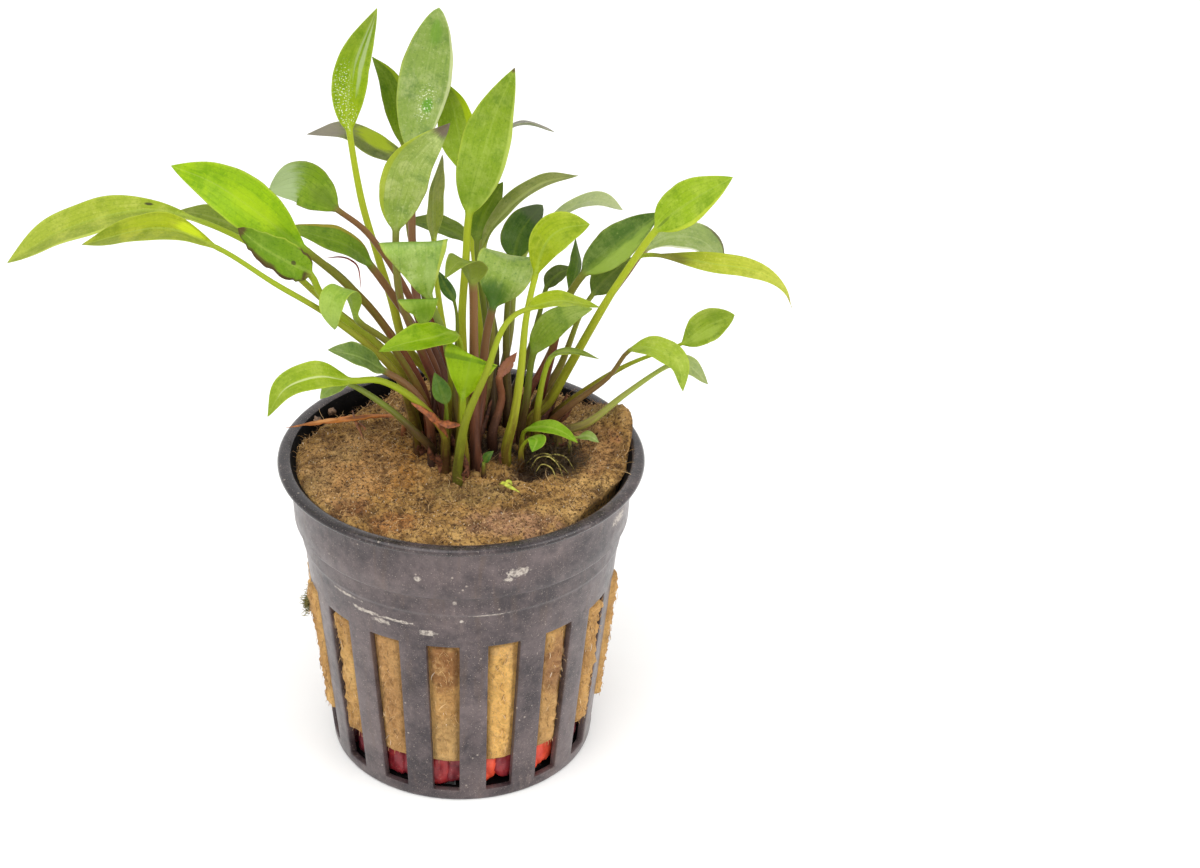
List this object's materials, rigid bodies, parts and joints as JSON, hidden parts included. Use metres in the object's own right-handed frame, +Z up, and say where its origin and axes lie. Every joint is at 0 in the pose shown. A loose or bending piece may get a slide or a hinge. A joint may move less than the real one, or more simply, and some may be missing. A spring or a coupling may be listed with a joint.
{
  "type": "potted water plant",
  "caption": "Broad-leaved water plant with long stalks, rooted in rockwool over clay gravel in a slotted plastic net pot.",
  "frame": {"origin": "centre of the pot's base, on the floor it stands on", "axes": "+Z up the pot's axis; +X to the picture's right; the picture is taken from the -Y side, from above"},
  "size_m": [0.1137, 0.061, 0.1116],
  "materials": {
    "leaf_bright": "satin",
    "leaf_sheen": "wet sheen",
    "leaf_dark": "satin",
    "leaf_olive": "satin",
    "leaf_pale": "satin",
    "leaf_dry": "dry, matt",
    "pot_plastic": "dusty satin",
    "rockwool": "fibrous, matt",
    "clay": "fired, matt"
  },
  "bodies": {
    "root": {"pot": "pot_plastic", "rockwool_plug": "rockwool", "clay_gravel": "clay", "leaf_far_left": "leaf_bright", "leaf_left_low": "leaf_bright", "leaf_left_broad": "leaf_bright", "leaf_left_tucked": "leaf_olive", "leaf_left_curled": "leaf_dark", "leaf_left_inner": "leaf_dark", "leaf_left_browned": "leaf_bright", "leaf_left_folded": "leaf_bright", "leaf_back_left": "leaf_olive", "leaf_tall_left": "leaf_bright", "leaf_tall_hidden": "leaf_dark", "leaf_tall_centre": "leaf_sheen", "leaf_behind_tall": "leaf_bright", "leaf_centre_upright": "leaf_sheen", "leaf_tall_right": "leaf_bright", "leaf_back_thin": "leaf_pale", "leaf_centre_edgewise": "leaf_olive", "leaf_back_crossing": "leaf_dark", "leaf_back_dark": "leaf_dark", "leaf_centre_broad": "leaf_sheen", "leaf_centre_olive": "leaf_olive", "leaf_centre_pale": "leaf_sheen", "leaf_centre_small": "leaf_bright", "leaf_front_bright": "leaf_bright", "leaf_front_upright": "leaf_bright", "leaf_front_dark": "leaf_dark", "leaf_centre_torn": "leaf_dark", "leaf_front_left_arched": "leaf_bright", "leaf_front_left_small": "leaf_pale", "leaf_front_left_grey": "leaf_sheen", "leaf_arched_right": "leaf_olive", "leaf_back_pale": "leaf_pale", "leaf_back_round": "leaf_dark", "leaf_right_yellow": "leaf_bright", "leaf_right_long": "leaf_bright", "leaf_right_dark": "leaf_dark", "leaf_right_grey": "leaf_pale", "leaf_far_right": "leaf_bright", "leaf_right_spoon": "leaf_bright", "leaf_right_drooping": "leaf_bright", "leaf_right_small": "leaf_pale", "leaf_right_level": "leaf_bright", "leaf_right_inner": "leaf_dark", "leaf_right_narrow": "leaf_bright", "leaf_right_edgewise": "leaf_dark", "leaf_back_right": "leaf_dark", "leaf_right_tucked": "leaf_olive", "shoot_bright": "leaf_bright", "shoot_front": "leaf_bright", "shoot_pale": "leaf_pale", "shoot_tiny": "leaf_dark", "old_stalk": "leaf_dry", "dried_leaf": "leaf_dry"}
  },
  "joints": []
}
